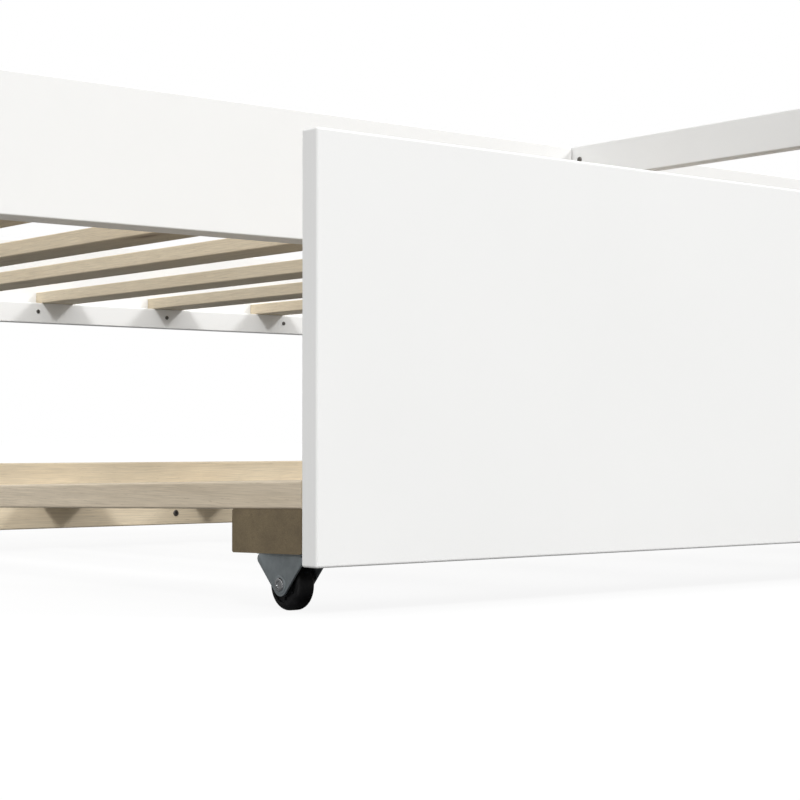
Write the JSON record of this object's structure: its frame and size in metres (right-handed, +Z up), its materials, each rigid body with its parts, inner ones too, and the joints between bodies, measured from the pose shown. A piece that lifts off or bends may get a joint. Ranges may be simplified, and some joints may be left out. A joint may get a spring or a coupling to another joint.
{
  "type": "trundle bed",
  "caption": "Slatted platform bed in white painted board with a low trundle on rigid casters that rolls out from under its long side.",
  "frame": {"origin": "on the floor, under the middle of the object's box with the trundle at its rest position", "axes": "+X along the bed, -Y towards the side the trundle comes out of, +Z up"},
  "size_m": [2.116, 2.251, 0.5375],
  "materials": {
    "white_paint": "satin white paint on smooth board",
    "bare_softwood": "planed bare softwood, unvarnished",
    "zinc_plate": "zinc-plated pressed steel",
    "rivet_steel": "bright zinc-plated rivet",
    "screw_steel": "dark zinc-plated steel",
    "wheel_black": "moulded black plastic with a slight sheen"
  },
  "bodies": {
    "bed_frame": {"back_ledger": "white_paint", "back_rail": "white_paint", "corner_block_back_left": "white_paint", "corner_block_back_right": "white_paint", "corner_block_front_left": "white_paint", "corner_block_front_right": "white_paint", "frame_bolts": "screw_steel", "front_ledger": "white_paint", "front_rail_left": "white_paint", "front_rail_right": "white_paint", "ledger_screws": "screw_steel", "left_end_rail": "white_paint", "leg_back_left": "white_paint", "leg_back_right": "white_paint", "leg_front_left": "white_paint", "leg_front_right": "white_paint", "rail_splice": "white_paint", "return_rail": "white_paint", "return_rail_screw": "screw_steel", "right_end_rail": "white_paint", "slat_1": "bare_softwood", "slat_2": "bare_softwood", "slat_3": "bare_softwood", "slat_4": "bare_softwood", "slat_5": "bare_softwood", "slat_6": "bare_softwood", "slat_7": "bare_softwood", "slat_8": "bare_softwood", "slat_9": "bare_softwood", "slat_screws": "screw_steel"},
    "trundle": {"axle_rivets": "rivet_steel", "caster_block_back_left": "bare_softwood", "caster_block_back_right": "bare_softwood", "caster_fork_back_left": "zinc_plate", "caster_fork_back_right": "zinc_plate", "caster_fork_front_left": "zinc_plate", "caster_fork_front_right": "zinc_plate", "caster_screws": "screw_steel", "panel_angle_1": "zinc_plate", "panel_angle_2": "zinc_plate", "panel_angle_3": "zinc_plate", "trundle_back_rail": "bare_softwood", "trundle_bearer": "bare_softwood", "trundle_ledger": "bare_softwood", "trundle_ledger_screws": "screw_steel", "trundle_panel": "white_paint", "trundle_slat_1": "bare_softwood", "trundle_slat_2": "bare_softwood", "trundle_slat_3": "bare_softwood", "trundle_slat_4": "bare_softwood", "trundle_slat_5": "bare_softwood", "trundle_slat_6": "bare_softwood", "trundle_slat_7": "bare_softwood", "trundle_slat_8": "bare_softwood", "trundle_slat_9": "bare_softwood", "trundle_slat_screws": "screw_steel"},
    "wheel_back_left": {"wheel_back_left": "wheel_black"},
    "wheel_back_right": {"wheel_back_right": "wheel_black"},
    "wheel_front_left": {"wheel_front_left": "wheel_black"},
    "wheel_front_right": {"wheel_front_right": "wheel_black"}
  },
  "joints": [
    {"name": "trundle_slide", "type": "slide", "parent": "bed_frame", "child": "trundle", "axis": [0, -1, 0], "range_m": [-0.691, 0.3]},
    {"name": "roll_back_left", "type": "hinge", "parent": "trundle", "child": "wheel_back_left", "pos_m": [-0.945, -0.2005, 0.021], "axis": [1, 0, 0], "continuous": true},
    {"name": "roll_back_right", "type": "hinge", "parent": "trundle", "child": "wheel_back_right", "pos_m": [0.945, -0.2005, 0.021], "axis": [1, 0, 0], "continuous": true},
    {"name": "roll_front_left", "type": "hinge", "parent": "trundle", "child": "wheel_front_left", "pos_m": [-0.945, -1.0445, 0.021], "axis": [1, 0, 0], "continuous": true},
    {"name": "roll_front_right", "type": "hinge", "parent": "trundle", "child": "wheel_front_right", "pos_m": [0.945, -1.0445, 0.021], "axis": [1, 0, 0], "continuous": true}
  ],
  "couplings": [
    {"joint": "roll_back_left", "follows": "trundle_slide", "rad_per_m": 47.619},
    {"joint": "roll_back_right", "follows": "trundle_slide", "rad_per_m": 47.619},
    {"joint": "roll_front_left", "follows": "trundle_slide", "rad_per_m": 47.619},
    {"joint": "roll_front_right", "follows": "trundle_slide", "rad_per_m": 47.619}
  ]
}
